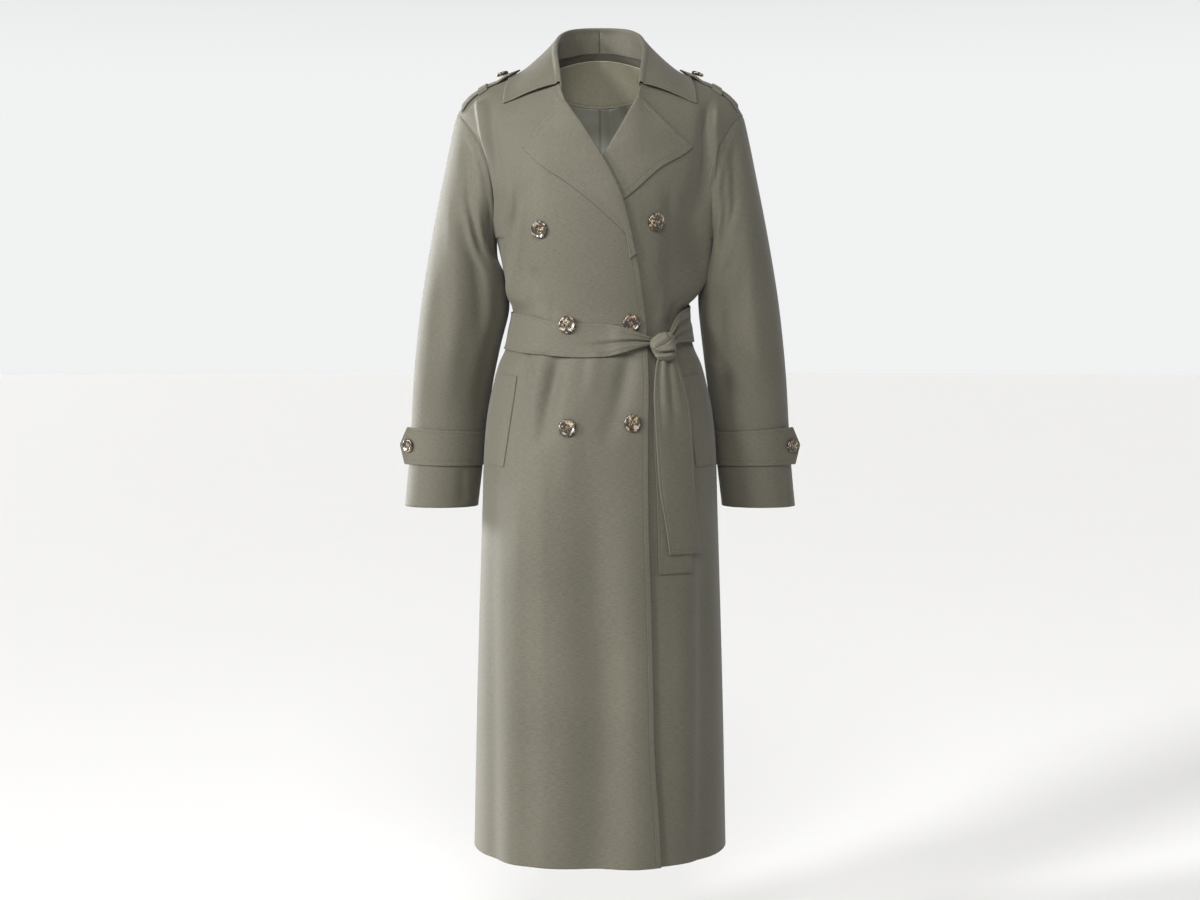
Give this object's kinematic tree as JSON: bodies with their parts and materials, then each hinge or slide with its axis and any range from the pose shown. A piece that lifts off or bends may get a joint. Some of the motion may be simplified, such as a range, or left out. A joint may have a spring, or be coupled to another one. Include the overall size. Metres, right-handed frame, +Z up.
{
  "type": "trench coat",
  "caption": "Long double-breasted trench coat with notched lapels, fold-down collar, shoulder straps, slanted welt pockets, cuff straps and a tied belt, filled out as worn.",
  "frame": {"origin": "middle plane of the coat, between front and back, at the height of the neck points, where it hangs on the wearer's shoulders", "axes": "+Z up along the coat, -Y out of its front, +X towards the wearer's left"},
  "size_m": [0.5908, 0.3092, 1.2041],
  "materials": {
    "twill": "matte fine twill, grey olive",
    "lining": "smooth satin lining, blue grey green",
    "button_shell": "polished mottled brown and cream"
  },
  "bodies": {
    "root": {"front_right": "twill", "front_left": "twill", "back": "twill", "lapel_right": "twill", "lapel_left": "twill", "pocket_welt_right": "twill", "pocket_welt_left": "twill", "collar_stand": "twill", "collar_leaf": "twill", "belt": "twill", "belt_knot": "twill", "belt_tail_front": "twill", "belt_tail_back": "twill", "sleeve_right": "twill", "cuff_strap_right": "twill", "epaulette_right": "twill", "keeper_right": "twill", "sleeve_left": "twill", "cuff_strap_left": "twill", "epaulette_left": "twill", "keeper_left": "twill", "back_facing": "lining", "lining_back": "lining", "cuff_button_right": "button_shell", "cuff_button_left": "button_shell", "epaulette_button_right": "button_shell", "epaulette_button_left": "button_shell", "button_top_right": "button_shell", "button_top_left": "button_shell", "button_waist_right": "button_shell", "button_waist_left": "button_shell", "button_low_right": "button_shell", "button_low_left": "button_shell"}
  },
  "joints": []
}
